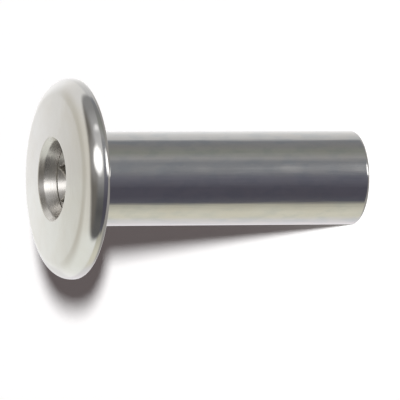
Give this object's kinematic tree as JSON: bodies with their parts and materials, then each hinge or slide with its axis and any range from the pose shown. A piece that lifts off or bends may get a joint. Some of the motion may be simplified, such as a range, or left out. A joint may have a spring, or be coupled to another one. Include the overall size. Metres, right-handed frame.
{
  "type": "binding barrel",
  "caption": "One-piece internally threaded barrel with a thin crowned round head, rolled rim and a hexagon socket drive.",
  "frame": {"origin": "centre of the open end's flat face, which the barrel stands on", "axes": "+Z along the axis from the open end to the head; +X through two opposite corners of the hexagon socket"},
  "size_m": [0.017, 0.017, 0.0273],
  "materials": {
    "polished_steel": "polished, with very fine lengthwise working marks on the sleeve"
  },
  "bodies": {
    "root": {"barrel": "polished_steel"}
  },
  "joints": []
}
